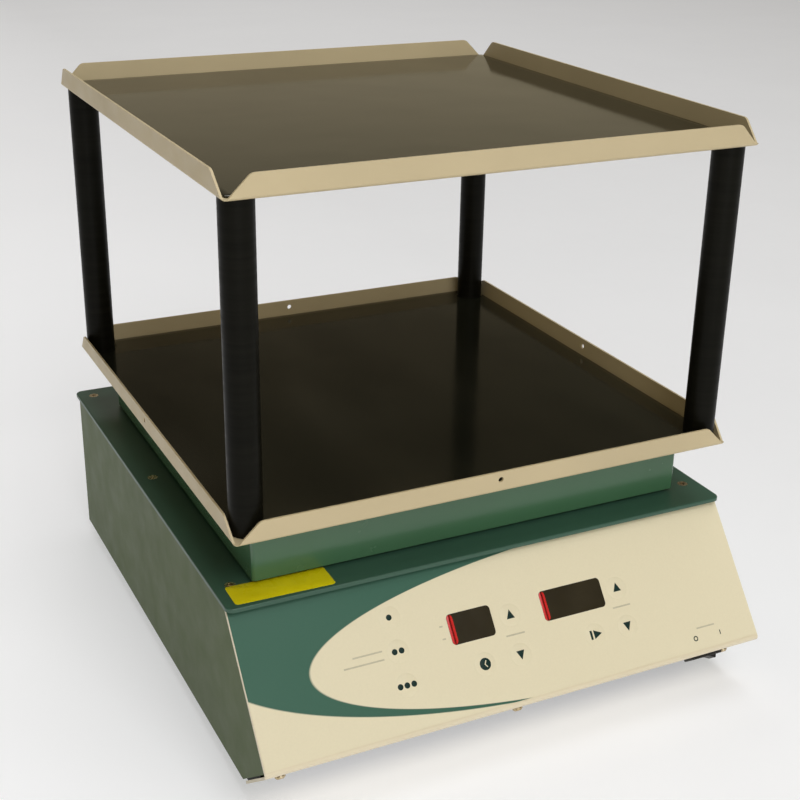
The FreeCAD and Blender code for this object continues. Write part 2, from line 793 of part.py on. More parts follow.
# Mains inlet in the rear wall, with its three pins and two screws
def make_mains_inlet():
    body = new_body("mains_inlet")
    back = drawing_on(body, "XZ_Plane", -s.base_back)
    pad(body, centred(back, s.inlet_x, s.inlet_z, 50, 23), s.inlet_flange, reverse=True)
    round_edges(body, 4, lambda edge: along(edge, 1))
    inner = drawing_on(body, "XZ_Plane", -s.base_back)
    pad(body, centred(inner, s.inlet_x, s.inlet_z, s.inlet_width, s.inlet_height), s.inlet_floor + 4)
    mouth = drawing_on(body, "XZ_Plane", -s.base_back - s.inlet_flange)
    left, right, low, high = s.inlet_x - 12, s.inlet_x + 12, s.inlet_z - 8.2, s.inlet_z + 8.2
    slant = 4
    polygon(mouth, [(left, low), (right, low), (right, high - slant), (right - slant, high),
                    (left + slant, high), (left, high - slant)])
    pocket(body, mouth, s.inlet_floor + s.inlet_flange, reverse=True)
    holes = drawing_on(body, "XZ_Plane", -s.base_back)
    for x in inlet_screws:
        circle(holes, x, s.inlet_z, 1.8)
    pocket(body, holes)
    keep(body, "mains_inlet")

    pin = new_body("inlet_pin")
    pad(pin, centred(drawing_on(pin, "XZ_Plane"), 0, 0, 2, 4), s.inlet_pin, reverse=True)
    round_edges(pin, 0.6, lambda edge: at(edge, 1, s.inlet_pin))
    floor, step = s.base_back - s.inlet_floor, 2.5
    spots = [(s.inlet_x, floor, s.inlet_z + step)]
    spots += [(s.inlet_x + 7 * i, floor, s.inlet_z - step) for i in (-1, 1)]
    keep(copies(pin, "inlet_pins", spots), "inlet_pins")

    inlet_screw = screw("inlet_screw", 3, 2, 1.7, 8, False)
    group = copies(inlet_screw, "inlet_screws", [(x, -s.inlet_z, 0) for x in inlet_screws])
    keep(place(tilt(group, "-90"), 0, s.base_back + s.inlet_flange, 0), "inlet_screws")


# Slotted mains power supply on the floor
def make_power_supply():
    body = new_body("power_supply")
    middle_y, lid = s.drive_y + 25, floor_top + s.supply_height
    case = drawing_on(body, "XY_Plane", floor_top)
    centred(case, s.supply_x, middle_y, s.supply_width, s.supply_depth)
    pad(body, case, s.supply_height)
    round_edges(body, 2, lambda edge: along(edge, 2))
    slots = drawing_on(body, "XY_Plane", lid)
    for row in range(9):
        centred(slots, s.supply_x, middle_y + (row - 4) * 12, 60, 4)
    pocket(body, slots, 3)
    keep(body, "power_supply")


# Drive motor on a plate hung under the deck by four pillars
def make_motor():
    centre_y = s.drive_y + s.motor_y
    bottom, top, rim, spigot = s.motor_plate_bottom, s.motor_plate_top, s.motor_rim, 11
    motor = place(new_body("motor"), 0, centre_y, 0)
    bore, waist, shaft_end, can_top = s.motor_shaft + s.running_gap * 2, rim - 1.5, top + 26, top + 52
    turn(motor, [(bore, bottom), (spigot, bottom), (spigot, top), (rim, top), (rim, top + 8),
                 (waist, top + 9), (waist, can_top - 9), (rim, can_top - 8), (rim, can_top), (12, can_top),
                 (12, can_top + 2), (0, can_top + 2), (0, shaft_end + 1), (bore, shaft_end + 1)])
    keep(motor, "motor")

    plate = new_body("motor_plate")
    outline = centred(drawing_on(plate, "XY_Plane", bottom), 0, centre_y, 96, 96)
    circle(outline, 0, centre_y, spigot + 0.1)
    pad(plate, outline, top - bottom)
    box = plate.Shape.BoundBox
    round_edges(plate, 8, lambda edge: along(edge, 2) and outermost(edge, box, 0))
    keep(plate, "motor_plate")

    pillar = new_body("motor_pillar")
    pad(pillar, circle(drawing_on(pillar, "XY_Plane", top), 0, 0, 5), deck_under - top)
    spots = [(s.pillar_spread * i, centre_y + s.pillar_spread * j, 0) for i in (-1, 1) for j in (-1, 1)]
    keep(copies(pillar, "motor_pillars", spots), "motor_pillars")

    pulley = place(new_body("motor_pulley"), 0, centre_y, 0)
    low, high = s.belt_bottom - 1, s.belt_bottom + s.belt_width + 1
    shaft, groove, flange, sheet = s.motor_shaft, s.motor_pulley, s.motor_pulley + 2, 1.5
    turn(pulley, [(0, low - 4), (shaft, low - 4), (shaft, low - sheet), (flange, low - sheet),
                  (flange, low), (groove, low), (groove, high), (flange, high), (flange, high + sheet),
                  (shaft, high + sheet), (shaft, shaft_end), (0, shaft_end)])
    keep(pulley, "motor_pulley")

    belt = place(new_body("drive_belt"), 0, s.drive_y, 0)
    loop = drawing_on(belt, "XY_Plane", s.belt_bottom)
    for offset in (s.belt_gap, s.belt_gap + s.belt_thick):
        tangent_loop(loop, s.driven_pulley + offset, s.motor_pulley + offset, s.motor_y)
    pad(belt, loop, s.belt_width)
    keep(belt, "drive_belt")


# Ball bearing ring, with shallow grooves between its races
def bearing(name, bore, rim, width):
    body = new_body(name)
    middle, reach = (bore + rim) / 2, (rim - bore) / 5
    inner, outer, dip = middle - reach, middle + reach, 0.8
    turn(body, [(bore, 0), (inner, 0), (inner, dip), (outer, dip), (outer, 0), (rim, 0), (rim, width),
                (outer, width), (outer, width - dip), (inner, width - dip), (inner, width), (bore, width)])
    return body


# Bearing housings welded under the deck, with two bearings in each
def make_housings():
    main = place(new_body("main_housing"), 0, s.drive_y, 0)
    low_race, high_race = size(79), size(116)
    rim, wall, flange, shoulder = s.main_rim, s.main_rim + 6, size(45), s.main_rim - 6
    turn(main, [(rim, low_race - 1), (wall, low_race - 1), (wall, deck_under - 6), (flange, deck_under - 6),
                (flange, deck_under), (rim, deck_under), (rim, high_race), (shoulder, high_race),
                (shoulder, low_race + s.main_race), (rim, low_race + s.main_race)])
    keep(main, "main_housing")
    main_bearing = bearing("main_bearing", s.main_shaft + s.running_gap, rim, s.main_race)
    main_pair = copies(main_bearing, "main_bearing_pair", [(0, s.drive_y, z) for z in (low_race, high_race)])

    idler = new_body("idler_housing")
    low_race, high_race = size(96), size(117)
    rim, wall, flange, shoulder = s.idler_rim, s.idler_rim + 4, size(28), s.idler_rim - 4
    turn(idler, [(rim, low_race - 2), (wall, low_race - 2), (wall, deck_under - 5), (flange, deck_under - 5),
                 (flange, deck_under), (rim, deck_under), (rim, high_race), (shoulder, high_race),
                 (shoulder, low_race + s.idler_race), (rim, low_race + s.idler_race)])
    keep(copies(idler, "idler_housings", idler_spots), "idler_housings")
    idler_bearing = bearing("idler_bearing", s.idler_shaft + s.running_gap, rim, s.idler_race)
    spots = [(x, y, z) for x, y, zero in idler_spots for z in (low_race, high_race)]
    together("base_bearings", [main_pair, copies(idler_bearing, "idler_bearing_pairs", spots)])


# Driven crank, its pulley and its counterweight
def make_main_crank():
    disc_bottom, disc_rim, shaft_end = s.crank_top - 8, 27, 46
    crank = place(new_body("main_crank"), 0, s.drive_y, 0)
    turn(crank, [(0, shaft_end), (s.main_shaft, shaft_end), (s.main_shaft, disc_bottom),
                 (disc_rim, disc_bottom), (disc_rim, s.crank_top), (0, s.crank_top)])
    for radius, height in ((s.main_pin + 2, 2), (s.main_pin, s.pin_top - s.crank_top)):
        pad(crank, circle(drawing_on(crank, "XY_Plane", s.crank_top), 0, -s.orbit, radius), height)
    keep(crank, "main_crank")

    pulley = place(new_body("driven_pulley"), 0, s.drive_y, 0)
    low, high = s.belt_bottom - 1, s.belt_bottom + s.belt_width + 1
    rim, inner, hub, bore, dish = s.driven_pulley, s.driven_pulley - 7, 18, s.main_shaft + s.press_gap, 4
    turn(pulley, [(bore, low), (hub, low), (hub, low + dish), (inner, low + dish), (inner, low), (rim, low),
                  (rim, high), (inner, high), (inner, high - dish), (hub, high - dish), (hub, high + 6),
                  (bore, high + 6)])
    web = drawing_on(pulley, "XY_Plane", high)
    hole_spread, hole_radius = 38, 12
    for x, y in ((1, 0), (0, 1), (-1, 0), (0, -1)):
        circle(web, x * hole_spread, y * hole_spread, hole_radius)
    pocket(pulley, web, high - low)
    keep(pulley, "driven_pulley")

    weight = place(new_body("counterweight"), 0, s.drive_y, 0)
    bottom, reach = s.deck_top + 2.5, size(105)
    disc = circle(drawing_on(weight, "XY_Plane", bottom), 0, 0, reach)
    circle(disc, 0, 0, s.main_shaft + s.press_gap)
    pad(weight, disc, disc_bottom - bottom)
    light_side = rectangle(drawing_on(weight, "XY_Plane", disc_bottom), -reach, reach, -reach, -22)
    pocket(weight, light_side, disc_bottom - bottom)
    keep(weight, "counterweight")


# Four idler cranks that keep the carriage square to the base
def make_idler_cranks():
    names = ("front_left", "rear_left", "front_right", "rear_right")
    web_width, shaft_length = size(26), 47
    for name, (x, y, z) in zip(names, idler_spots):
        crank = place(new_body(f"idler_crank_{name}"), x, y, 0)
        web = drawing_on(crank, "XY_Plane", s.web_bottom)
        pad(crank, centred(web, 0, -s.orbit / 2, web_width, s.orbit + web_width), s.web_top - s.web_bottom)
        round_edges(crank, web_width / 2 - 0.1, lambda edge: along(edge, 2))
        shaft = circle(drawing_on(crank, "XY_Plane", s.web_bottom), 0, 0, s.idler_shaft)
        pad(crank, shaft, shaft_length, reverse=True)
        pin = circle(drawing_on(crank, "XY_Plane", s.web_top), 0, -s.orbit, s.idler_shaft)
        pad(crank, pin, s.pin_top - s.web_top)
        keep(crank, f"idler_crank_{name}")


# Flanged hub for a crank pin's bearing, welded up under the carriage
def hub(name, rim, race, flange):
    body = new_body(name)
    bottom, wall, shoulder, sheet = s.race_bottom - 1, rim + 4, rim - 3.7, 4
    turn(body, [(rim, bottom), (wall, bottom), (wall, plate_under - sheet), (flange, plate_under - sheet),
                (flange, plate_under), (shoulder, plate_under), (shoulder, s.race_bottom + race),
                (rim, s.race_bottom + race)])
    return body


# Folded carriage pan under the lower tray, with its bearing hubs
def make_carriage():
    pan = place(new_body("carriage_pan"), 0, carriage_y, 0)
    height = s.lower_tray_z - carriage_bottom
    outline = centred(drawing_on(pan, "XY_Plane", carriage_bottom), 0, 0, s.carriage_width, s.carriage_depth)
    pad(pan, outline, height)
    round_edges(pan, 3, lambda edge: along(edge, 2))
    inner_width = s.carriage_width - s.carriage_sheet * 2
    inner_depth = s.carriage_depth - s.carriage_sheet * 2
    hollow = centred(drawing_on(pan, "XY_Plane", carriage_bottom), 0, 0, inner_width, inner_depth)
    pocket(pan, hollow, height - s.carriage_sheet, reverse=True)
    holes = drawing_on(pan, "XY_Plane", s.lower_tray_z)
    for x, y in tray_fixings:
        circle(holes, x, y, s.sunk_hole)
    pocket(pan, holes, s.carriage_sheet)
    keep(pan, "carriage_pan")

    main_hub = hub("main_hub", s.carriage_rim, s.carriage_race, 35)
    main_hubs = copies(main_hub, "main_hubs", [(0, carriage_y, 0)])
    idler_hubs = copies(hub("idler_hub", s.idler_rim, s.idler_race, 24), "idler_hubs", hub_spots)
    together("carriage_hubs", [main_hubs, idler_hubs])
    main_race = bearing("main_race", s.main_pin + s.running_gap, s.carriage_rim, s.carriage_race)
    idler_race = bearing("idler_race", s.idler_shaft + s.running_gap, s.idler_rim, s.idler_race)
    idler_races = [(x, y, s.race_bottom) for x, y, z in hub_spots]
    together("carriage_bearings", [copies(main_race, "main_races", [(0, carriage_y, s.race_bottom)]),
                                   copies(idler_race, "idler_races", idler_races)])


# Rimmed tray of thin sheet: a floor with round corners, and leaning rims with slanted ends
def floor_sheet(name, bottom):
    """Cut the floor of a tray, with the start of the bend all the way round, level with the sheet."""
    body = place(new_body(name), 0, carriage_y, bottom)
    width, depth, high = s.tray_width, s.tray_depth, s.rim_upright
    pad(body, centred(drawing_on(body, "XY_Plane"), 0, 0, width, depth), high)
    round_edges(body, s.tray_corner, lambda edge: along(edge, 2))
    round_edges(body, s.tray_bend, lambda edge: at(edge, 2, 0))
    pocket(body, centred(drawing_on(body, "XY_Plane", high), 0, 0, width, depth), high - s.tray_sheet)
    return body


def channel(name, roles, axis, across, length, bottom):
    """Bend up two opposite rims of a tray, with slanted ends and rounded shoulders."""
    body = place(new_body(name), 0, carriage_y, bottom)
    half, thick, bent, top = across / 2, s.tray_sheet, s.rim_upright, s.rim_height
    inner, lean = half - thick, half + s.rim_lean
    right = [(half, 0), (half, bent), (lean, top), (lean - thick, top), (inner, bent), (inner, thick)]
    left = [(-x, z) for x, z in reversed(right)]
    pad(body, polygon(drawing_on(body, roles[0]), right + left), length - s.tray_corner * 2, symmetric=True)
    round_edges(body, s.tray_bend, lambda edge: along(edge, axis) and at(edge, 2, 0))
    round_edges(body, s.tray_bend - thick, lambda edge: along(edge, axis) and at(edge, 2, thick))
    end, beyond = length / 2, 1.2
    foot, shoulder = end - s.rim_foot, end - s.rim_mitre
    above, start = thick + (top - thick) * beyond, foot - (foot - shoulder) * beyond
    slants = drawing_on(body, roles[1])
    for side in (-1, 1):
        corners = [(foot, thick), (end, thick), (end, above), (start, above)]
        polygon(slants, [(x * side, z) for x, z in corners])
    pocket(body, slants, symmetric=True)
    round_edges(body, s.rim_round, lambda edge: along(edge, 1 - axis) and at(edge, 2, top)
                and abs(abs(edge.BoundBox.Center[axis]) - shoulder.value) < 1e-3)
    return body


def tray(name, bottom, mid_holes, plain_holes, sunk_holes):
    shell = joined(f"{name}_shell", "fuse", [
        floor_sheet(f"{name}_floor", bottom),
        channel(f"{name}_front_back", ("YZ_Plane", "XZ_Plane"), 0, s.tray_depth, s.tray_width, bottom),
        channel(f"{name}_sides", ("XZ_Plane", "YZ_Plane"), 1, s.tray_width, s.tray_depth, bottom)])
    tools = []
    reach = s.tray_width + s.tray_depth
    if mid_holes:
        for axis in (FreeCAD.Vector(1, 0, 0), FreeCAD.Vector(0, 1, 0)):
            drill = doc.addObject("Part::Cylinder", f"{name}_mid_hole")
            bind(drill, "Radius", s.rim_hole)
            bind(drill, "Height", reach)
            lie_down = FreeCAD.Rotation(FreeCAD.Vector(0, 0, 1), axis)
            drill.Placement = FreeCAD.Placement(FreeCAD.Vector(), lie_down)
            place(drill, reach * (-axis.x / 2), carriage_y - reach * (axis.y / 2), bottom + s.rim_hole_height)
            tools.append(drill)
    for x, y in plain_holes:
        drill = doc.addObject("Part::Cylinder", f"{name}_hole")
        bind(drill, "Radius", s.plain_hole)
        bind(drill, "Height", s.tray_sheet * 3)
        tools.append(place(drill, x, y, bottom - s.tray_sheet))
    for x, y in sunk_holes:
        drill = doc.addObject("Part::Cone", f"{name}_sunk_hole")
        bind(drill, "Radius1", s.sunk_hole)
        bind(drill, "Radius2", s.sunk_hole + s.tray_sheet)
        bind(drill, "Height", s.tray_sheet)
        tools.append(place(drill, x, y, bottom))
    cut = joined(f"{name}_drilled", "cut", [shell, joined(f"{name}_drills", "fuse", tools)])
    keep(cut, name)


def notch_for_posts(mat, top):
    """Cut a mat round the four posts, with the outer corners open so that it slips in between them."""
    gap, mouth = 0.5, 5
    inner, outer = s.post_spread - mouth, s.tray_depth / 2
    rings, corners = [drawing_on(mat, "XY_Plane", top) for number in range(2)]
    for i in (-1, 1):
        for j in (-1, 1):
            circle(rings, s.post_spread * i, s.post_spread * j, s.post_radius + gap)
            rectangle(corners, inner * i, outer * i, inner * j, outer * j)
    pocket(mat, rings, s.mat)
    pocket(mat, corners, s.mat)


def make_trays():
    corners = [(x, y) for x, y, z in post_spots]
    fixings = [(x, carriage_y + y) for x, y in tray_fixings]
    tray("lower_tray", s.lower_tray_z, True, corners, fixings)
    tray("upper_tray", s.upper_tray_z, False, [], corners)
    tray_screw = screw("tray_screw", 4.1, 1.45, 2.6, 7, True)
    spots = [(x, y, s.lower_tray_z + s.tray_sheet - 0.05) for x, y in fixings]
    keep(copies(tray_screw, "tray_screws", spots), "tray_screws")
    for name, bottom in (("lower_mat", s.lower_tray_z), ("upper_mat", s.upper_tray_z)):
        mat = place(new_body(name), 0, carriage_y, 0)
        width, depth = s.tray_width - s.mat_margin * 2, s.tray_depth - s.mat_margin * 2
        pad(mat, centred(drawing_on(mat, "XY_Plane", bottom + s.tray_sheet), 0, 0, width, depth), s.mat)
        round_edges(mat, s.mat_corner, lambda edge: along(edge, 2))
        if name == "lower_mat":
            notch_for_posts(mat, bottom + s.tray_sheet + s.mat)
        keep(mat, name)


# Four round posts between the tiers, tapped at both ends for the tray screws
def make_posts():
    bottom, top = s.lower_tray_z + s.tray_sheet, s.upper_tray_z
    names = ("front_left", "front_right", "rear_left", "rear_right")
    rim, tapped, deep, ease = s.post_radius, s.post_tapping, s.post_thread, 0.6
    for name, (x, y, z) in zip(names, post_spots):
        post = place(new_body(f"post_{name}"), x, y, 0)
        turn(post, [(tapped, bottom), (rim - ease, bottom), (rim, bottom + ease), (rim, top - ease),
                    (rim - ease, top), (tapped, top), (tapped, top - deep), (0, top - deep),
                    (0, bottom + deep), (tapped, bottom + deep)])
        keep(post, f"post_{name}")
    upper_screw = screw("upper_post_screw", 4.1, 1.45, 2.55, 18, True)
    lower_screw = screw("lower_post_screw", 5.2, 3.4, 2.55, 18, False)
    sunk = top + s.tray_sheet - 0.05
    upper = copies(upper_screw, "upper_post_screws", [(x, y, sunk) for x, y, z in post_spots])
    lower = copies(lower_screw, "lower_post_screws", [(x, -y, 0) for x, y, z in post_spots])
    place(tilt(lower, "180"), 0, 0, s.lower_tray_z)
    together("post_screws", [upper, lower])


make_base_plate()
make_body_shell()
make_front_panel()
make_panel_overlay()
make_displays()
make_keys()
make_power_switch()
make_deck()
make_screws()
make_feet()
make_mains_inlet()
make_power_supply()
make_motor()
make_housings()
make_main_crank()
make_idler_cranks()
make_carriage()
make_trays()
make_posts()

# Check every object, then write one file for each sub-part
doc.recompute()
for thing in doc.Objects:
    if "Invalid" in thing.State or "Error" in thing.State:
        raise RuntimeError(f"{thing.Label}: {thing.State}")
os.makedirs("parts", exist_ok=True)
for piece in pieces:
    shape = Part.getShape(piece)
    if shape.isNull() or not shape.isValid() or not shape.Solids:
        raise RuntimeError(f"{piece.Label}: no sound solid")
for piece in pieces:
    shape = Part.getShape(piece)
    shape.exportStep(f"parts/{piece.Label}.step")
    box = shape.BoundBox
    print(f"{piece.Label}: {len(shape.Solids)} solids, X {box.XMin:.1f} {box.XMax:.1f}, "
          f"Y {box.YMin:.1f} {box.YMax:.1f}, Z {box.ZMin:.1f} {box.ZMax:.1f}")
print(len(pieces), "sub-parts written")
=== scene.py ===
# %% [markdown]
# This lesson dresses a two-tier orbital shaker. Its construction is already there: the frame holds every sheet,
# screw and crank at its real place, in metres, and each one sits on the body that it moves with. What is left is
# how it looks, so the lesson sets up the camera and the light, makes a finish for each kind of surface, and
# models the thin things that the construction leaves out: mats, printed signs, tape and a label.

# %% Load the frame
import math
import bpy
from mathutils import Matrix, Vector


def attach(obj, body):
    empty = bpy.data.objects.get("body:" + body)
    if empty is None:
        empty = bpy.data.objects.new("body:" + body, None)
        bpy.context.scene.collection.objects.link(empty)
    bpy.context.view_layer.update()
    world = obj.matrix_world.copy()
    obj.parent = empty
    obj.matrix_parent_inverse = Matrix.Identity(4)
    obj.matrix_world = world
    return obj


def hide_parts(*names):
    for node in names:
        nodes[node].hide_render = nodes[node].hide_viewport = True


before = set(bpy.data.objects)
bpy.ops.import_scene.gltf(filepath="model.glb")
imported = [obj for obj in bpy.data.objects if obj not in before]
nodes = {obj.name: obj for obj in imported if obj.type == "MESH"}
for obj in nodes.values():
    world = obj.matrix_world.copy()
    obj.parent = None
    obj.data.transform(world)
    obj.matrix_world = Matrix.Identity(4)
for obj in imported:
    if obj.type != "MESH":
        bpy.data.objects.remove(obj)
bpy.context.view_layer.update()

scene = bpy.context.scene
mm = 0.001

# %% [markdown]
# The camera stands in front of the machine, to its left and a little above the upper tray. Its place and angles
# were worked out from the straight edges of the machine, so the trays and the panel fall where they should.
# A long lens keeps the upright posts nearly parallel.

# %% Camera
camera_place = Vector((-0.4481, -0.9246, 0.6225))
camera_yaw = math.radians(-26.28)
camera_pitch = math.radians(-23.04)
camera_roll = math.radians(0.945)
lens_mm = 62.8
level = math.cos(camera_pitch)
ahead = Vector((-math.sin(camera_yaw) * level, math.cos(camera_yaw) * level, math.sin(camera_pitch)))
flat_right = Vector((math.cos(camera_yaw), math.sin(camera_yaw), 0))
upright = flat_right.cross(ahead)
right = flat_right * math.cos(camera_roll) + upright * math.sin(camera_roll)
up = upright * math.cos(camera_roll) - flat_right * math.sin(camera_roll)
eye = bpy.data.objects.new("camera", bpy.data.cameras.new("camera"))
scene.collection.objects.link(eye)
eye.data.lens = lens_mm
eye.data.sensor_width = 36
eye.matrix_world = Matrix.Translation(camera_place) @ Matrix((right, up, -ahead)).transposed().to_4x4()
scene.camera = eye
print("camera", [round(v, 3) for v in camera_place], "lens", lens_mm, "mm")

# %% [markdown]
# A catalogue studio is a dim room with large soft lamps: one overhead, one above the camera and one for the floor
# behind. What shiny black things mirror is the room itself, so its brightness matters as much as the lamps. Here
# the room glows a little near the floor and is nearly dark higher up, which leaves the panes dark and gives only
# the upper mat, seen at a low angle, a warm shine. The plain view transform keeps paint colours as they are mixed.

# %% Room
scene.view_settings.view_transform = "Standard"
scene.view_settings.look = "None"
room = bpy.data.worlds.new("room")
room.use_nodes = True
scene.world = room
room_parts = room.node_tree.nodes
room_light = room_parts["Background"]
room_light.inputs["Color"].default_value = (1.0, 0.86, 0.58, 1)
direction = room_parts.new("ShaderNodeTexCoord")
height = room_parts.new("ShaderNodeSeparateXYZ")
brightness = room_parts.new("ShaderNodeMapRange")
brightness.interpolation_type = "SMOOTHSTEP"
for socket, value in {"From Min": 0.10, "From Max": 0.42, "To Min": 0.47, "To Max": 0.08}.items():
    brightness.inputs[socket].default_value = value
room.node_tree.links.new(direction.outputs["Generated"], height.inputs["Vector"])
room.node_tree.links.new(height.outputs["Z"], brightness.inputs["Value"])
room.node_tree.links.new(brightness.outputs["Result"], room_light.inputs["Strength"])
print("room", len(room_parts), "nodes")


# %% Lamps
def softbox(name, place, target, width, power):
    """Hang a square soft lamp at a place and aim it."""
    lamp = bpy.data.lights.new(name, "AREA")
    lamp.size = width
    lamp.energy = power
    holder = bpy.data.objects.new(name, lamp)
    scene.collection.objects.link(holder)
    aim = Vector(target) - Vector(place)
    holder.matrix_world = Matrix.Translation(place) @ aim.to_track_quat("-Z", "Y").to_matrix().to_4x4()


softbox("overhead", (0.5, -0.1, 3.0), (0, 0, 0.2), 2.0, 34)
softbox("above_camera", (0.0, -2.3, 2.6), (0, 0, 0.15), 1.6, 48)
softbox("beside_camera", (-0.5, -3.2, 0.9), (0, 0, 0.2), 1.4, 18)
softbox("behind", (0.9, 3.2, 3.0), (1.2, 3.6, 0), 1.8, 28)

# %% Floor
bpy.ops.object.select_all(action="DESELECT")
bpy.ops.mesh.primitive_plane_add(size=40, location=(0, 0, 0))
floor = bpy.context.object
floor.name = "floor"

# %% [markdown]
# Each finish is a small network of nodes. All of them start the same way: the place of a point on the machine
# feeds a noise, and the noise is turned into colour, roughness or relief. A few short helpers keep each finish
# readable, and whatever is the same all over is set straight on the shader.


# %% Finish helpers
def new_finish(name, **constants):
    """Start a finish and set the values that are the same all over it."""
    finish = bpy.data.materials.new(name)
    finish.use_nodes = True
    shader = finish.node_tree.nodes["Principled BSDF"]
    for socket, value in constants.items():
        shader.inputs[socket.replace("_", " ")].default_value = value
    return finish, finish.node_tree, shader


def add_node(tree, kind, inputs=None, **settings):
    node = tree.nodes.new("ShaderNode" + kind)
    for name, value in settings.items():
        setattr(node, name, value)
    for socket, value in (inputs or {}).items():
        if isinstance(value, bpy.types.NodeSocket):
            tree.links.new(value, node.inputs[socket])
        else:
            node.inputs[socket].default_value = value
    return node


def place_of(tree, scale=(1, 1, 1)):
    """Give the place of a point on the machine, stretched along an axis where a scale is given."""
    spot = add_node(tree, "TexCoord").outputs["Object"]
    return add_node(tree, "Mapping", {"Vector": spot, "Scale": scale}).outputs["Vector"]


def grain(tree, scale, detail=2.0, stretch=(1, 1, 1)):
    return add_node(tree, "TexNoise", {"Vector": place_of(tree, stretch), "Scale": scale, "Detail": detail}).outputs["Fac"]


def tint(tree, shader, amount, dark, light, low=0.3, high=0.7):
    """Run the colour from dark to light as a noise goes from low to high."""
    ramp = add_node(tree, "ValToRGB", {"Fac": amount})
    ramp.color_ramp.elements[0].position = low
    ramp.color_ramp.elements[1].position = high
    ramp.color_ramp.elements[0].color = (*dark, 1)
    ramp.color_ramp.elements[1].color = (*light, 1)
    tree.links.new(ramp.outputs["Color"], shader.inputs["Base Color"])
    return ramp.outputs["Color"]


def gloss(tree, shader, amount, smooth, rough):
    span = add_node(tree, "MapRange", {"Value": amount, "From Min": 0.3, "From Max": 0.7, "To Min": smooth, "To Max": rough})
    tree.links.new(span.outputs["Result"], shader.inputs["Roughness"])


def relief(tree, shader, height, depth, under=None):
    """Raise the surface by a noise, on top of another relief where one is given."""
    bump = add_node(tree, "Bump", {"Height": height, "Distance": depth, "Strength": 1.0})
    if under:
        tree.links.new(under, bump.inputs["Normal"])
    tree.links.new(bump.outputs["Normal"], shader.inputs["Normal"])
    return bump.outputs["Normal"]


def shades(colour, change):
    """Give a darker and a lighter shade of a colour."""
    return [tuple(channel * factor for channel in colour) for factor in (1 - change, 1 + change)]


# %% [markdown]
# The painted sheets come first. Powder coat is a fine even pebble, and stoved enamel is smoother, with the slow
# waviness that painters call orange peel. Both drift a little in shade over a large sheet.


# %% Painted sheet
def powder_coat(name, colour):
    finish, tree, shader = new_finish(name, Specular_IOR_Level=0.45)
    tint(tree, shader, grain(tree, 9, 4), *shades(colour, 0.05))
    gloss(tree, shader, grain(tree, 60), 0.40, 0.52)
    waves = relief(tree, shader, grain(tree, 240, 1), 0.00006)
    relief(tree, shader, grain(tree, 1300, 1), 0.00003, waves)
    return finish


def enamel(name, colour, smooth, rough, change=0.06, coat=0.25, sheen=0.5, peel=0.00008):
    finish, tree, shader = new_finish(name, Coat_Weight=coat, Coat_Roughness=0.12, Specular_IOR_Level=sheen)
    tint(tree, shader, grain(tree, 7, 4), *shades(colour, change))
    gloss(tree, shader, grain(tree, 40, 3), smooth, rough)
    waves = relief(tree, shader, grain(tree, 170, 1), peel)
    relief(tree, shader, grain(tree, 900, 1), 0.000012, waves)
    return finish


tray_coat = powder_coat("tray_coat", (0.525, 0.435, 0.265))
# The shell is the skirt's green paint, made more olive: painted warm light falling on the side wall.
shell_enamel = enamel("shell_enamel", (0.084, 0.120, 0.043), 0.42, 0.52, coat=0.0, sheen=0.14, peel=0.00003)
# The deck is the skirt's green paint, made darker: painted shade from the trays over it.
deck_enamel = enamel("deck_enamel", (0.034, 0.090, 0.060), 0.34, 0.40, coat=0.05, sheen=0.4, peel=0.00001)
skirt_enamel = enamel("skirt_enamel", (0.052, 0.138, 0.068), 0.22, 0.28, peel=0.00002)
panel_enamel = enamel("panel_enamel", (0.70, 0.62, 0.45), 0.38, 0.48, 0.02)
# The hidden base plate is made nearly black: painted shade, so the slit under the side wall's front corner stays
# dark.
painted_shade_black = enamel("painted_shade_black", (0.008, 0.012, 0.007), 0.45, 0.55, coat=0.0, sheen=0.12, peel=0.00003)

# %% [markdown]
# The film on the panel is printed in cream with a green field at its left. The field's edges are parts of two
# long ellipses, so the print is worked out from their sizes: a point is green where it is outside the inner
# ellipse and inside the outer one. The Mapping node turns a place in the room into a place on the panel, with X
# across it and Y up its slope.

# %% Panel frame
panel_tilt = math.atan2(88, 70.3)
panel_top = Vector((0, -0.1648, 0.134))
film_height = 0.5 * mm
panel_frame = Matrix.Translation(panel_top) @ Matrix.Rotation(panel_tilt, 4, "X")
print("panel tilt", round(math.degrees(panel_tilt), 2), "degrees")


# %% Printed film
def ellipse_edge(tree, across, up, middle, radii, soft):
    """Give 0 inside an ellipse and 1 outside, with a thin soft edge."""
    spot = add_node(tree, "CombineXYZ", {"X": across, "Y": up}).outputs["Vector"]
    shifted = add_node(tree, "VectorMath", {0: spot, 1: (middle[0], -middle[1], 0)}, operation="SUBTRACT").outputs[0]
    scaled = add_node(tree, "VectorMath", {0: shifted, 1: (radii[0], radii[1], 1)}, operation="DIVIDE").outputs[0]
    reach = add_node(tree, "VectorMath", {0: scaled}, operation="LENGTH").outputs["Value"]
    edge = add_node(tree, "MapRange", {"Value": reach, "From Min": 1 - soft, "From Max": 1 + soft})
    return edge.outputs["Result"]


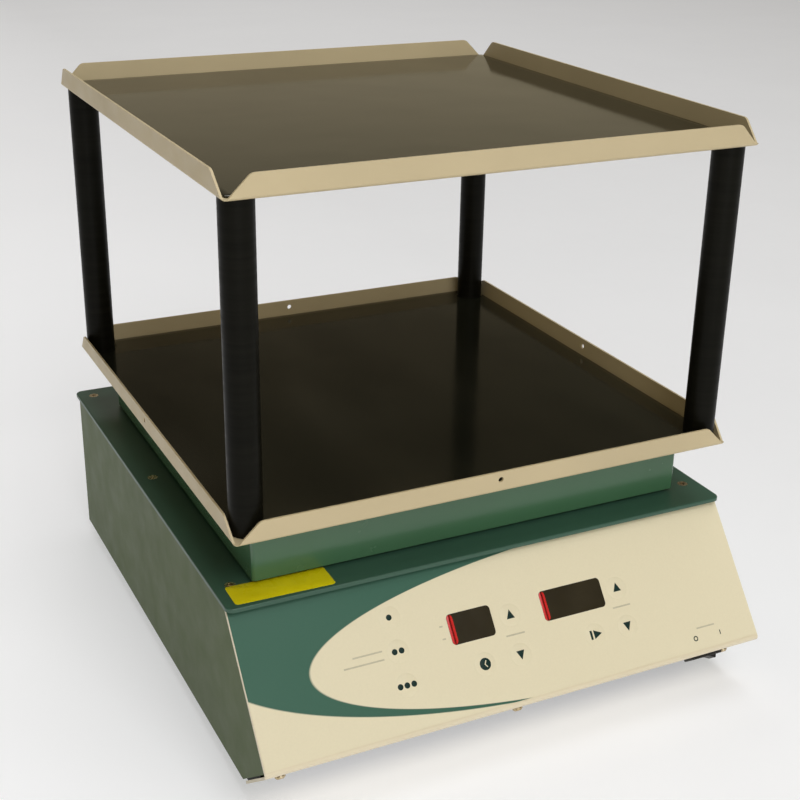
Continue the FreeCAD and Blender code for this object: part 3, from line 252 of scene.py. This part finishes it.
def printed_film():
    cream, green = (0.720, 0.655, 0.472), (0.041, 0.117, 0.080)
    finish, tree, shader = new_finish("printed_film", Specular_IOR_Level=0.18)
    spot = add_node(tree, "TexCoord").outputs["Object"]
    flat = add_node(tree, "Mapping", {"Vector": spot, "Location": panel_top, "Rotation": (panel_tilt, 0, 0)},
                    vector_type="TEXTURE").outputs["Vector"]
    axes = add_node(tree, "SeparateXYZ", {"Vector": flat})
    across, up = axes.outputs["X"], axes.outputs["Y"]
    inner = ellipse_edge(tree, across, up, (115.6 * mm, 57.2 * mm), (269.3 * mm, 56.9 * mm), 0.003)
    outer = ellipse_edge(tree, across, up, (78.2 * mm, 27.7 * mm), (303.2 * mm, 84.9 * mm), 0.003)
    field = add_node(tree, "Math", {0: inner, 1: outer}, operation="SUBTRACT", use_clamp=True).outputs[0]
    left = add_node(tree, "Math", {0: across, 1: 60 * mm}, operation="LESS_THAN").outputs[0]
    ink = add_node(tree, "Math", {0: field, 1: left}, operation="MULTIPLY").outputs[0]
    speckle = grain(tree, 700, 1)
    papers = []
    for colour in (cream, green):
        dark, light = shades(colour, 0.025)
        papers.append(add_node(tree, "Mix", {"Factor": speckle, 6: (*dark, 1), 7: (*light, 1)}, data_type="RGBA").outputs[2])
    print_mix = add_node(tree, "Mix", {"Factor": ink, 6: papers[0], 7: papers[1]}, data_type="RGBA")
    tree.links.new(print_mix.outputs[2], shader.inputs["Base Color"])
    gloss(tree, shader, grain(tree, 30, 3), 0.36, 0.46)
    relief(tree, shader, grain(tree, 1500, 1), 0.00001)
    return finish


film_print = printed_film()

# %% [markdown]
# Rubber, plastic and anodised metal are all nearly black here, so their gloss tells them apart. The mats are
# smooth with wiped smears, the posts have the fine rings of a lathe, and the moulded parts have a spark-eroded
# grain.


# %% Black finishes
def mat_rubber():
    finish, tree, shader = new_finish("mat_rubber", Specular_IOR_Level=0.43, Specular_Tint=(1.0, 0.85, 0.48, 1))
    tint(tree, shader, grain(tree, 5, 5), (0.0085, 0.0090, 0.0060), (0.0145, 0.0150, 0.0098))
    smears = grain(tree, 11, 6, (1.0, 0.35, 1.0))
    gloss(tree, shader, smears, 0.06, 0.17)
    shine = add_node(tree, "MapRange", {"Value": smears, "From Min": 0.3, "From Max": 0.7, "To Min": 0.34, "To Max": 0.52})
    tree.links.new(shine.outputs["Result"], shader.inputs["Specular IOR Level"])
    ripple = relief(tree, shader, grain(tree, 28, 3, (1.0, 0.7, 1.0)), 0.00004)
    relief(tree, shader, grain(tree, 900, 2), 0.000006, ripple)
    return finish


def lathe_black():
    finish, tree, shader = new_finish("lathe_black", Specular_IOR_Level=0.07)
    tint(tree, shader, grain(tree, 420, 2, (0.02, 0.02, 1.0)), (0.0035, 0.0034, 0.0020), (0.0065, 0.0062, 0.0040))
    gloss(tree, shader, grain(tree, 260, 3, (0.05, 0.05, 1.0)), 0.28, 0.44)
    relief(tree, shader, grain(tree, 600, 2, (0.02, 0.02, 1.0)), 0.00004)
    return finish


def black_plain(name, colour, smooth, rough, scale, depth):
    finish, tree, shader = new_finish(name)
    tint(tree, shader, grain(tree, 30, 4), *shades(colour, 0.2))
    gloss(tree, shader, grain(tree, 90, 3), smooth, rough)
    relief(tree, shader, grain(tree, scale, 2), depth)
    return finish


mat_black = mat_rubber()
post_black = lathe_black()
moulded_black = black_plain("moulded_black", (0.008, 0.007, 0.006), 0.40, 0.52, 1600, 0.00003)
foot_rubber = black_plain("foot_rubber", (0.018, 0.018, 0.018), 0.62, 0.76, 900, 0.00005)
belt_rubber = black_plain("belt_rubber", (0.016, 0.016, 0.016), 0.58, 0.70, 1200, 0.00005)
motor_black = black_plain("motor_black", (0.012, 0.012, 0.013), 0.30, 0.42, 300, 0.00004)
smoked_pane = black_plain("smoked_pane", (0.029, 0.023, 0.012), 0.16, 0.22, 60, 0.000004)
print("black finishes", mat_black.name, post_black.name, moulded_black.name)

# %% [markdown]
# Bare metal is told apart by colour and by the marks of how it was made: the drifting straw of yellow zinc,
# the crystals of galvanised sheet, the rings of turned steel and the sand texture of cast iron.


# %% Metal finishes
def plated(name, dark, light, smooth, rough, scale=260):
    finish, tree, shader = new_finish(name, Metallic=1.0)
    tint(tree, shader, grain(tree, scale, 3), dark, light)
    gloss(tree, shader, grain(tree, 700, 2), smooth, rough)
    relief(tree, shader, grain(tree, 1500, 2), 0.000015)
    return finish


def turned(name, colour, smooth, rough):
    finish, tree, shader = new_finish(name, Metallic=1.0)
    tint(tree, shader, grain(tree, 300, 2, (0.05, 0.05, 1.0)), *shades(colour, 0.1))
    gloss(tree, shader, grain(tree, 500, 2, (0.05, 0.05, 1.0)), smooth, rough)
    relief(tree, shader, grain(tree, 900, 1, (0.03, 0.03, 1.0)), 0.00002)
    return finish


def galvanised():
    finish, tree, shader = new_finish("galvanised", Metallic=1.0)
    crystals = add_node(tree, "TexVoronoi", {"Vector": place_of(tree), "Scale": 110.0})
    shade = add_node(tree, "SeparateColor", {"Color": crystals.outputs["Color"]}).outputs["Red"]
    tint(tree, shader, shade, (0.42, 0.44, 0.46), (0.60, 0.62, 0.64), 0.0, 1.0)
    gloss(tree, shader, shade, 0.34, 0.50)
    relief(tree, shader, grain(tree, 600, 2), 0.00002)
    return finish


def cast_metal():
    finish, tree, shader = new_finish("cast_metal", Metallic=0.85)
    tint(tree, shader, grain(tree, 80, 5), (0.10, 0.10, 0.105), (0.20, 0.20, 0.205))
    gloss(tree, shader, grain(tree, 200, 3), 0.48, 0.66)
    relief(tree, shader, grain(tree, 700, 3), 0.00012)
    return finish


yellow_zinc = plated("yellow_zinc", (0.44, 0.34, 0.19), (0.66, 0.56, 0.39), 0.22, 0.34)
plain_zinc = plated("plain_zinc", (0.50, 0.51, 0.53), (0.66, 0.67, 0.69), 0.24, 0.36)
pin_brass = plated("pin_brass", (0.60, 0.44, 0.20), (0.72, 0.56, 0.30), 0.22, 0.32)
mill_alloy = plated("mill_alloy", (0.60, 0.61, 0.63), (0.70, 0.71, 0.73), 0.34, 0.46, 40)
ground_steel = plated("ground_steel", (0.58, 0.59, 0.61), (0.68, 0.69, 0.71), 0.14, 0.24)
turned_steel = turned("turned_steel", (0.52, 0.53, 0.55), 0.22, 0.34)
turned_alloy = turned("turned_alloy", (0.66, 0.67, 0.69), 0.26, 0.38)
galvanised_sheet = galvanised()
cast_iron = cast_metal()
print("metal finishes", yellow_zinc.name, galvanised_sheet.name, cast_iron.name)


# %% [markdown]
# The last few finishes are for small things: the inks, the bright red strip, the yellow label, the nylon
# spacers, the circuit board with its tracks, and the dark face of the number modules.


# %% Small finishes
def tinted_plain(name, colour, smooth, rough, scale=300, change=0.06, sheen=0.5):
    finish, tree, shader = new_finish(name, Specular_IOR_Level=sheen)
    tint(tree, shader, grain(tree, scale, 3), *shades(colour, change))
    gloss(tree, shader, grain(tree, 120, 2), smooth, rough)
    relief(tree, shader, grain(tree, 1400, 1), 0.00001)
    return finish


def circuit_board():
    finish, tree, shader = new_finish("circuit_board")
    tracks = add_node(tree, "TexBrick", {"Vector": place_of(tree), "Scale": 90.0, "Mortar Size": 0.03,
                                         "Color1": (0.012, 0.085, 0.035, 1), "Color2": (0.014, 0.10, 0.04, 1),
                                         "Mortar": (0.03, 0.16, 0.07, 1)})
    tree.links.new(tracks.outputs["Color"], shader.inputs["Base Color"])
    gloss(tree, shader, grain(tree, 200, 2), 0.26, 0.38)
    relief(tree, shader, tracks.outputs["Fac"], 0.00004)
    return finish


green_ink = tinted_plain("green_ink", (0.008, 0.026, 0.022), 0.40, 0.50, sheen=0.15)
grey_ink = tinted_plain("grey_ink", (0.50, 0.46, 0.34), 0.42, 0.52, sheen=0.2)
cream_ink = tinted_plain("cream_ink", (0.70, 0.64, 0.46), 0.40, 0.50)
# The bright red strip: the filter's red is real, its brightness is painted light on the window's lit inner wall.
red_tape = tinted_plain("red_tape", (0.56, 0.022, 0.020), 0.24, 0.34, sheen=0.3)
label_yellow = tinted_plain("label_yellow", (0.68, 0.59, 0.005), 0.24, 0.34, 60, sheen=0.12)
nylon_white = tinted_plain("nylon_white", (0.72, 0.71, 0.66), 0.42, 0.54)
display_face = tinted_plain("display_face", (0.05, 0.006, 0.006), 0.24, 0.34)
board_green = circuit_board()
print("small finishes", green_ink.name, red_tape.name, board_green.name)

# %% [markdown]
# Every node of the construction that stays in view now gets its finish. The keys share the film's print, because
# on the real panel the same film runs over them.

# %% Dress the construction
keys = [name for name in nodes if name.startswith("key_") and name != "key_switches"]
posts = [name for name in nodes if name.startswith("post_") and name != "post_screws"]
dress = {
    tray_coat: ["lower_tray", "upper_tray"],
    shell_enamel: ["body_shell"],
    deck_enamel: ["deck"],
    skirt_enamel: ["carriage_pan"],
    panel_enamel: ["front_panel"],
    film_print: ["panel_overlay"] + keys,
    smoked_pane: ["timer_window", "speed_window"],
    mat_black: ["lower_mat", "upper_mat"],
    post_black: posts,
    moulded_black: ["power_switch", "power_rocker", "mains_inlet", "key_switches"],
    yellow_zinc: ["deck_screws", "panel_screws"],
    plain_zinc: ["base_screws", "board_screws", "foot_screws", "inlet_screws", "tray_screws", "post_screws",
                 "motor_pillars"],
    foot_rubber: ["rubber_feet"],
    pin_brass: ["inlet_pins"],
    # Painted shade: the nearly black base plate darkens the slit at the base's front corner.
    painted_shade_black: ["base_plate"],
    galvanised_sheet: ["motor_plate"],
    mill_alloy: ["power_supply"],
    motor_black: ["motor"],
    turned_alloy: ["motor_pulley", "driven_pulley"],
    belt_rubber: ["drive_belt"],
    cast_iron: ["main_housing", "idler_housings", "carriage_hubs", "counterweight"],
    ground_steel: ["base_bearings", "carriage_bearings"],
    turned_steel: [name for name in nodes if "crank" in name],
    nylon_white: ["board_spacers"],
    board_green: ["control_board"],
    display_face: ["led_displays"],
}
for finish, names in dress.items():
    for name in names:
        nodes[name].data.materials.clear()
        nodes[name].data.materials.append(finish)
undressed = set(nodes) - {name for names in dress.values() for name in names}
print("dressed", len(nodes) - len(undressed), "nodes, left", sorted(undressed))

# %% [markdown]
# Now the thin pieces. Each one is drawn flat, given a thickness and a soft edge, and then laid where it belongs.
# A shape that repeats is modelled once, as a pattern at the origin, and copied with its own mesh.


# %% Modelling helpers
def pick(*pieces):
    """Select these pieces alone, with the first one active."""
    bpy.ops.object.select_all(action="DESELECT")
    for piece in pieces:
        piece.select_set(True)
    bpy.context.view_layer.objects.active = pieces[0]


def modify(piece, kind, **settings):
    """Add a modifier, set it and apply it."""
    pick(piece)
    bpy.ops.object.modifier_add(type=kind)
    for name, value in settings.items():
        setattr(piece.modifiers[-1], name, value)
    bpy.ops.object.modifier_apply(modifier=piece.modifiers[-1].name)


def thicken(piece, height, soft):
    """Give a flat shape a height and a soft edge."""
    modify(piece, "SOLIDIFY", thickness=height, offset=1)
    modify(piece, "BEVEL", width=soft, segments=2, limit_method="ANGLE")
    return piece


def flat_disc(radius, corners=40, height=0.06 * mm):
    """Model a disc, or with three corners an arrow that points up."""
    bpy.ops.object.select_all(action="DESELECT")
    bpy.ops.mesh.primitive_circle_add(vertices=corners, radius=radius, fill_type="NGON")
    return thicken(bpy.context.object, height, height / 4)


def flat_bar(width, length, round_where=None, radius=0.0, height=0.06 * mm):
    """Model a bar, rounding the corners that a test picks."""
    bpy.ops.object.select_all(action="DESELECT")
    bpy.ops.mesh.primitive_plane_add(size=1)
    bar = bpy.context.object
    bar.scale = (width, length, 1)
    bpy.ops.object.transform_apply(location=False, rotation=False, scale=True)
    if round_where:
        for corner in bar.data.vertices:
            corner.select = round_where(corner.co)
        bpy.ops.object.mode_set(mode="EDIT")
        bpy.ops.mesh.bevel(offset=radius, segments=6, affect="VERTICES")
        bpy.ops.object.mode_set(mode="OBJECT")
    return thicken(bar, height, height / 4)


def copy_of(pattern, place):
    """Copy a pattern with its own mesh and put it at a place."""
    piece = pattern.copy()
    piece.data = pattern.data.copy()
    scene.collection.objects.link(piece)
    piece.matrix_world = place
    return piece


def panel_place(across, down, out=film_height, turn=0.0):
    """Give the place of a sign on the panel, turned about the panel's normal."""
    return panel_frame @ Matrix.Translation((across * mm, -down * mm, out)) @ Matrix.Rotation(math.radians(turn), 4, "Z")


def settle(pieces, name, body, finish, stands_for=None):
    """Join pieces into one, fix its place in its mesh, and hand it to its body."""
    pick(*pieces)
    if len(pieces) > 1:
        bpy.ops.object.join()
    piece = pieces[0]
    piece.name = piece.data.name = name
    bpy.ops.object.transform_apply(location=True, rotation=True, scale=True)
    bpy.ops.object.shade_smooth_by_angle(angle=math.radians(24))
    piece.data.materials.clear()
    piece.data.materials.append(finish)
    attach(piece, body)
    if stands_for:
        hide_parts(stands_for)
    print(name, "on", body, len(piece.data.polygons), "faces")


# %% [markdown]
# A rubber mat never lies perfectly flat. Each one starts as a plane, is divided finely, gets a slow swell of a
# tenth of a millimetre from a cloud texture, and then gets its thickness. The upper mat gets round corners, and
# the lower one is cut round the four posts, with its corners open so that it slips in between them.

# %% Mats
mat_middle = Vector((0, 20.7 * mm, 0))
mat_size = (385 * mm, 390 * mm)
post_spread, post_room = 181 * mm, 12 * mm
swell = bpy.data.textures.new("swell", "CLOUDS")
swell.noise_scale = 0.045
swell.noise_depth = 1


def rubber_mat(under):
    """Model a mat with its underside at a height."""
    bpy.ops.object.select_all(action="DESELECT")
    bpy.ops.mesh.primitive_plane_add(size=1, location=mat_middle + Vector((0, 0, under)))
    mat = bpy.context.object
    mat.scale = (*mat_size, 1)
    bpy.ops.object.transform_apply(location=True, rotation=False, scale=True)
    bpy.ops.object.mode_set(mode="EDIT")
    bpy.ops.mesh.subdivide(number_cuts=70)
    bpy.ops.object.mode_set(mode="OBJECT")
    modify(mat, "DISPLACE", texture=swell, texture_coords="GLOBAL", direction="Z", strength=0.12 * mm, mid_level=0)
    modify(mat, "SOLIDIFY", thickness=1.35 * mm, offset=1)
    return mat


def cut(mat, cutter, operation):
    """Cut a mat by another shape, which is then thrown away."""
    modify(mat, "BOOLEAN", object=cutter, operation=operation, solver="EXACT")
    bpy.data.objects.remove(cutter)


def round_corners(mat, radius):
    """Keep what lies inside a block with four rounded upright edges."""
    bpy.ops.object.select_all(action="DESELECT")
    bpy.ops.mesh.primitive_cube_add(size=1, location=mat_middle)
    block = bpy.context.object
    block.scale = (*mat_size, 2)
    bpy.ops.object.transform_apply(location=True, rotation=False, scale=True)
    for edge in block.data.edges:
        low, high = [block.data.vertices[i].co for i in edge.vertices]
        edge.select = (high - low).xy.length < mm
    bpy.ops.object.mode_set(mode="EDIT")
    bpy.ops.mesh.select_mode(type="EDGE")
    bpy.ops.mesh.bevel(offset=radius, segments=6)
    bpy.ops.object.mode_set(mode="OBJECT")
    cut(mat, block, "INTERSECT")


def notch(mat, side, end):
    """Cut a corner of a mat round a post: a round hole, and the corner outside it."""
    post_place = mat_middle + Vector((side * post_spread, end * post_spread, 186.5 * mm))
    bpy.ops.object.select_all(action="DESELECT")
    bpy.ops.mesh.primitive_cylinder_add(vertices=64, radius=post_room, depth=10 * mm, location=post_place)
    cut(mat, bpy.context.object, "DIFFERENCE")
    inner, reach = 5 * mm, 30 * mm
    outward = Vector((side, end, 0)) * (reach / 2 - inner)
    bpy.ops.object.select_all(action="DESELECT")
    bpy.ops.mesh.primitive_cube_add(size=reach, location=post_place + outward)
    cut(mat, bpy.context.object, "DIFFERENCE")


lower_mat = rubber_mat(186 * mm)
for side in (-1, 1):
    for end in (-1, 1):
        notch(lower_mat, side, end)
upper_mat = rubber_mat(412.5 * mm)
round_corners(upper_mat, 3.5 * mm)
for mat, name in ((lower_mat, "lower_mat"), (upper_mat, "upper_mat")):
    modify(mat, "BEVEL", width=0.3 * mm, segments=2, limit_method="ANGLE")
    settle([mat], name + "_rubber", "carriage", mat_black, name)

# %% [markdown]
# On the real panel one film runs over the keys, and they only show by their signs. So each key gets a thin face
# with the film's own print. It is drawn round the rim of the film's hole, so it closes the gap and still goes in
# freely when the key is pressed. The signs are printed on these faces and ride with the keys too.


# %% Key faces
def key_spot(key):
    """Find the middle of a key's front, in millimetres across and down the panel."""
    points = [panel_frame.inverted() @ corner.co for corner in nodes[key].data.vertices]
    front = [point for point in points if point.z > film_height - 0.05 * mm]
    across, down = [point.x for point in front], [-point.y for point in front]
    return (min(across) + max(across)) / 2 / mm, (min(down) + max(down)) / 2 / mm


def hole_rim(key):
    """Find the film's rim round a key, in order, as offsets from the key's middle."""
    across, down = key_spot(key)
    middle = Vector((across, -down)) * mm
    points = [panel_frame.inverted() @ corner.co for corner in nodes["panel_overlay"].data.vertices]
    offsets = [point.xy - middle for point in points if point.z > film_height - 0.05 * mm]
    near = [offset for offset in offsets if offset.length < 8.5 * mm]
    rim = []
    for offset in sorted(near, key=lambda offset: math.atan2(offset.y, offset.x)):
        if all((offset - other).length > 0.05 * mm for other in rim):
            rim.append(offset)
    return rim


def key_face(key):
    """Model a face that just fits the film's hole."""
    rim = hole_rim(key)
    bpy.ops.object.select_all(action="DESELECT")
    bpy.ops.mesh.primitive_circle_add(vertices=len(rim), fill_type="NGON")
    disc = bpy.context.object
    for corner, offset in zip(disc.data.vertices, rim):
        corner.co = (*offset * 0.999, 0)
    return thicken(disc, face_height, face_height / 4)


face_height, glue = 0.02 * mm, 0.005 * mm
for key in keys:
    face = key_face(key)
    face.matrix_world = panel_place(*key_spot(key), film_height + glue)
    settle([face], key.replace("key", "face"), key, film_print)
print("key faces at", [tuple(round(value, 1) for value in key_spot(key)) for key in keys])

# %% Signs on the keys
on_face = film_height + glue + face_height
dot = flat_disc(2.1 * mm)
arrow = flat_disc(4.0 * mm, 3)
arrow.scale = (0.94, 1.1, 1)
stop_bar = flat_bar(1.8 * mm, 6.6 * mm)
clock = flat_disc(4.3 * mm)
hand = flat_bar(0.7 * mm, 3.0 * mm)
patterns = [dot, arrow, stop_bar, clock, hand]
pick(arrow)
bpy.ops.object.transform_apply(location=False, rotation=False, scale=True)


def sign(name, body, parts, finish=green_ink):
    """Print a sign that is made of patterns, each with its place on the panel."""
    settle([copy_of(pattern, panel_place(*where)) for pattern, *where in parts], name, body, finish)


sign("sign_program_one", "key_program_one", [(dot, -88.5, 30.9, on_face)])
sign("sign_program_two", "key_program_two", [(dot, x, 54.6, on_face) for x in (-90.8, -85.6)])
sign("sign_program_three", "key_program_three", [(dot, x, 78.3, on_face) for x in (-93.2, -88.1, -82.9)])
sign("sign_timer_up", "key_timer_up", [(arrow, 1.5, 49.8, on_face)])
sign("sign_timer_down", "key_timer_down", [(arrow, 1.5, 77.4, on_face, 180)])
sign("sign_speed_up", "key_speed_up", [(arrow, 91.7, 49.8, on_face)])
sign("sign_speed_down", "key_speed_down", [(arrow, 91.7, 77.4, on_face, 180)])
sign("sign_run", "key_run", [(stop_bar, 60.4, 78, on_face), (arrow, 64.8, 78, on_face, -90)])
sign("sign_timer_set", "key_timer_set", [(clock, -27.4, 78, on_face)])
on_clock = on_face + 0.06 * mm
hands = [(hand, -27.0, 76.9, on_clock, -28), (hand, -27.0, 79.1, on_clock, 35)]
sign("sign_timer_hands", "key_timer_set", hands, cream_ink)

# %% [markdown]
# Beside the keys are the off ring and the on bar of the mains switch. Where a panel of this kind has words, short
# pale rules keep their places.

# %% Signs beside the keys
ring = flat_disc(1.95 * mm)
hole = flat_disc(1.2 * mm, height=0.2 * mm)
hole.location.z = -0.05 * mm
modify(ring, "BOOLEAN", object=hole, operation="DIFFERENCE", solver="EXACT")
on_bar = flat_bar(0.75 * mm, 3.4 * mm)
word = flat_bar(1, 1.1 * mm)
patterns += [ring, hole, on_bar, word]
sign("sign_off", "base", [(ring, 144.8, 100.1)])
sign("sign_on", "base", [(on_bar, 167.1, 100)])
rules = {"timer": (1.6, 63.5, 15), "speed": (91.5, 63.2, 15), "power": (156, 93.1, 16),
         "window_upper": (-52.6, 45.7, 2.6), "window_lower": (-52.6, 54.5, 2.6),
         "dots_upper": (-110.6, 52, 22), "dots_lower": (-114.5, 57.8, 30)}
for name, (across, down, width) in rules.items():
    rule = copy_of(word, panel_place(across, down) @ Matrix.Diagonal((width * mm, 1, 1, 1)))
    settle([rule], "rule_" + name, "base", grey_ink)

# %% [markdown]
# A bright red strip runs down the left edge of each window. It is painted light: it stands for the inner wall
# of the window's recess, red from the filter and lit where the light gets in. A blank yellow label sits on the
# deck's front left corner.

# %% Lit strips and label
# The strips are painted light: bright red bars for the windows' inner walls, lit through the red filter.
pane_height = 0.4 * mm
lit_strip_width = 4.6
lit_strip = flat_bar(lit_strip_width * mm, 21.2 * mm, lambda corner: corner.x < 0, 2.7 * mm)
label = flat_bar(71.6 * mm, 24.6 * mm, lambda corner: True, 2.5 * mm, 0.12 * mm)
patterns += [lit_strip, label]
for name, middle, width in (("timer", -30, 34.6), ("speed", 53.5, 51.6)):
    left = middle - width / 2 + lit_strip_width / 2 + 0.2
    settle([copy_of(lit_strip, panel_place(left, 49.5, pane_height))], name + "_tape", "base", red_tape)
label_place = Matrix.Translation((-156.5 * mm, -156.4 * mm, 137 * mm)) @ Matrix.Rotation(math.radians(-1.2), 4, "Z")
settle([copy_of(label, label_place)], "deck_label", "base", label_yellow)
for pattern in patterns:
    bpy.data.objects.remove(pattern)

# %% [markdown]
# The floor is a pale sheet of studio paper, with only a trace of tooth. It is lit from below as well, as a light
# table is, and a little more at its left, so the shadows on it stay pale.


# %% Floor finish
def studio_paper():
    finish, tree, shader = new_finish("studio_paper", Specular_IOR_Level=0.2, Emission_Color=(1.0, 1.0, 1.02, 1))
    across = add_node(tree, "SeparateXYZ", {"Vector": place_of(tree)}).outputs["X"]
    lit = add_node(tree, "MapRange", {"Value": across, "From Min": -0.5, "From Max": 0.5, "To Min": 0.52, "To Max": 0.34})
    tree.links.new(lit.outputs["Result"], shader.inputs["Emission Strength"])
    tint(tree, shader, grain(tree, 3, 3), (0.545, 0.55, 0.56), (0.565, 0.57, 0.58))
    gloss(tree, shader, grain(tree, 50, 2), 0.7, 0.8)
    return finish


floor.data.materials.append(studio_paper())
